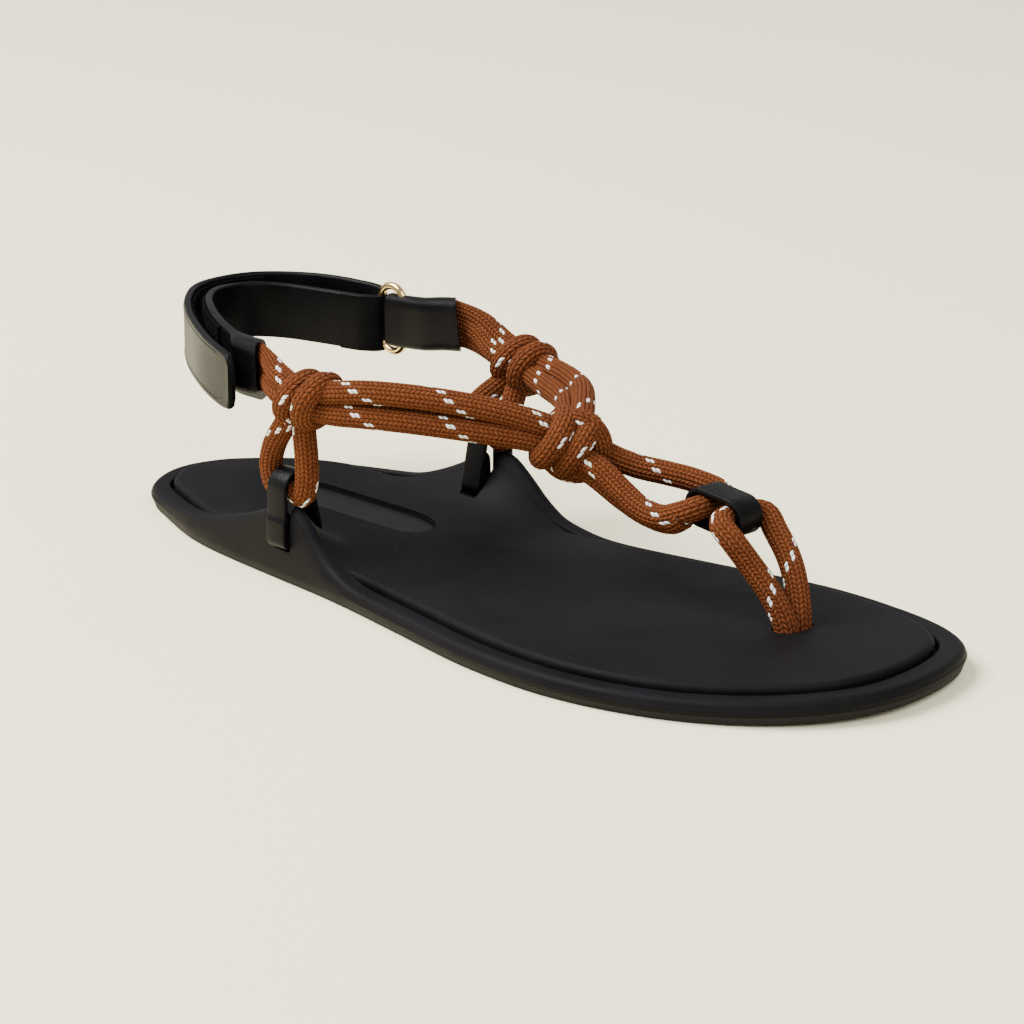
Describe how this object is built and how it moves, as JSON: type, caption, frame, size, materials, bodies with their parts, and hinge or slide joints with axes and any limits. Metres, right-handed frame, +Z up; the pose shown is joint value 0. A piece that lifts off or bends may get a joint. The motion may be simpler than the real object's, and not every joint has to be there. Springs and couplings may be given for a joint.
{
  "type": "rope sandal",
  "caption": "Flat thong sandal for the right foot: grooved sole with low side wings, knotted rope upper and a leather heel strap on an oval ring.",
  "frame": {"origin": "on the floor, under the middle of the sandal's box", "axes": "+X from heel to toe, +Y to the inner side of the foot, +Z up"},
  "size_m": [0.255, 0.0984, 0.0587],
  "materials": {
    "sole_rubber": "matt black rubber",
    "sole_wall": "smooth black moulded edge with a soft sheen",
    "footbed_leather": "fine matt black leather over a padded footbed",
    "badge_leather": "bare pressed panel, a little darker than the footbed",
    "braided_rope": "rust brown braided cord with paired off-white flecks",
    "strap_leather": "smooth black strap leather with a satin gloss",
    "ring_brass": "polished pale gold"
  },
  "bodies": {
    "root": {"outsole": "sole_rubber", "midsole": "sole_wall", "footbed": "footbed_leather", "badge_panel": "badge_leather", "rope_upper": "braided_rope", "toe_loop": "braided_rope", "keeper": "strap_leather", "tab_lateral": "strap_leather", "tab_medial": "strap_leather", "heel_strap": "strap_leather", "ring_sleeve": "strap_leather", "strap_ring": "ring_brass"}
  },
  "joints": []
}
